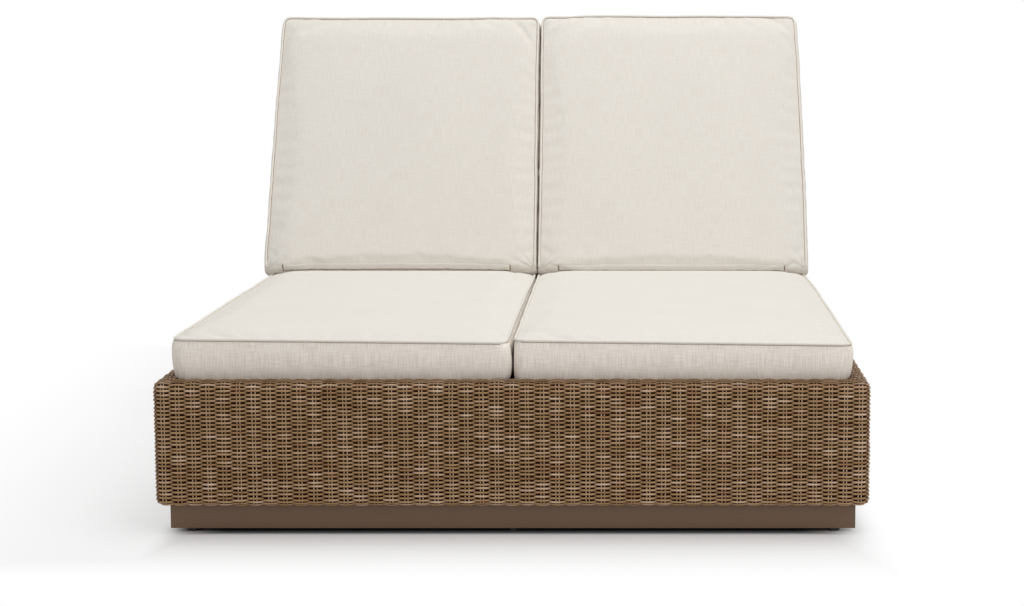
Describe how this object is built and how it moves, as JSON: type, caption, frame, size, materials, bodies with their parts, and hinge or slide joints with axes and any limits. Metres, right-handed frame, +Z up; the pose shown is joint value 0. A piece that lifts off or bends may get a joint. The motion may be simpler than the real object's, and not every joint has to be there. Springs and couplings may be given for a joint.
{
  "type": "double chaise lounger",
  "caption": "Wide woven lounger for two side by side, on a recessed plinth, with separate reclining backs on prop stays and boxed cushions.",
  "frame": {"origin": "on the ground, in the middle of the base's length and width", "axes": "+Y from the foot end to the head end, +X to the right as seen from the foot end, +Z up"},
  "size_m": [1.42, 2.08, 1.0173],
  "materials": {
    "resin_wicker": "round resin strand, plain weave, satin, mid brown with tan highlights",
    "powder_coat": "brown powder coat on aluminium tube, satin",
    "hardware_steel": "dark powder coat on steel plate",
    "bright_steel": "plain stainless pins",
    "glide_plastic": "black moulded glide",
    "bumper_rubber": "black rubber",
    "cushion_fabric": "natural cream linen-look weave with fine slubs and self welt"
  },
  "bodies": {
    "base": {"foot_glides": "glide_plastic", "plinth_front": "powder_coat", "plinth_rear": "powder_coat", "plinth_left": "powder_coat", "plinth_right": "powder_coat", "plinth_centre": "powder_coat", "bottom_tube_front": "powder_coat", "bottom_tube_rear": "powder_coat", "bottom_tube_left": "powder_coat", "bottom_tube_right": "powder_coat", "top_tube_front": "powder_coat", "top_tube_rear": "powder_coat", "top_tube_left": "powder_coat", "top_tube_right": "powder_coat", "frame_posts": "powder_coat", "cross_bearers": "powder_coat", "centre_beam": "powder_coat", "centre_ledge": "powder_coat", "side_ledge_left": "powder_coat", "side_ledge_right": "powder_coat", "side_bearer_left": "powder_coat", "side_bearer_right": "powder_coat", "rear_ledge": "powder_coat", "rest_bumpers": "bumper_rubber", "seat_slats_left": "powder_coat", "seat_slats_right": "powder_coat", "woven_front": "resin_wicker", "woven_rear": "resin_wicker", "woven_left": "resin_wicker", "woven_right": "resin_wicker", "racks_left": "hardware_steel", "racks_right": "hardware_steel", "hinge_bracket_left": "hardware_steel", "hinge_bracket_right": "hardware_steel", "hinge_bracket_centre": "hardware_steel", "hinge_pins": "bright_steel", "seat_cushion_left": "cushion_fabric", "seat_cushion_right": "cushion_fabric"},
    "back_left": {"foot_rail_left": "powder_coat", "inner_stile_left": "powder_coat", "outer_stile_left": "powder_coat", "head_rail_left": "powder_coat", "prop_rail_left": "powder_coat", "back_weave_left": "resin_wicker", "prop_pins_left": "bright_steel"},
    "prop_left": {"prop_legs_left": "powder_coat", "prop_bar_left": "powder_coat"},
    "back_pad_left": {"back_cushion_left": "cushion_fabric"},
    "back_right": {"foot_rail_right": "powder_coat", "inner_stile_right": "powder_coat", "outer_stile_right": "powder_coat", "head_rail_right": "powder_coat", "prop_rail_right": "powder_coat", "back_weave_right": "resin_wicker", "prop_pins_right": "bright_steel"},
    "prop_right": {"prop_legs_right": "powder_coat", "prop_bar_right": "powder_coat"},
    "back_pad_right": {"back_cushion_right": "cushion_fabric"}
  },
  "joints": [
    {"name": "recline_left", "type": "hinge", "parent": "base", "child": "back_left", "pos_m": [0, 0.232, 0.2745], "axis": [1, 0, 0], "range_deg": [-65, 0]},
    {"name": "prop_swing_left", "type": "hinge", "parent": "back_left", "child": "prop_left", "pos_m": [0, 0.38476, 0.54531], "axis": [1, 0, 0], "range_deg": [0, 119.34]},
    {"name": "pad_slide_left", "type": "slide", "parent": "back_left", "child": "back_pad_left", "axis": [0, 0.4226, 0.9063], "range_m": [-0.10235, 0]},
    {"name": "recline_right", "type": "hinge", "parent": "base", "child": "back_right", "pos_m": [0, 0.232, 0.2745], "axis": [1, 0, 0], "range_deg": [-65, 0]},
    {"name": "prop_swing_right", "type": "hinge", "parent": "back_right", "child": "prop_right", "pos_m": [0, 0.38476, 0.54531], "axis": [1, 0, 0], "range_deg": [0, 119.34]},
    {"name": "pad_slide_right", "type": "slide", "parent": "back_right", "child": "back_pad_right", "axis": [0, 0.4226, 0.9063], "range_m": [-0.10235, 0]}
  ],
  "couplings": [
    {"joint": "prop_swing_left", "follows": "recline_left", "ratio": -1.8352},
    {"joint": "pad_slide_left", "follows": "recline_left", "m_per_rad": 0.09017},
    {"joint": "prop_swing_right", "follows": "recline_right", "ratio": -1.8352},
    {"joint": "pad_slide_right", "follows": "recline_right", "m_per_rad": 0.09017}
  ]
}
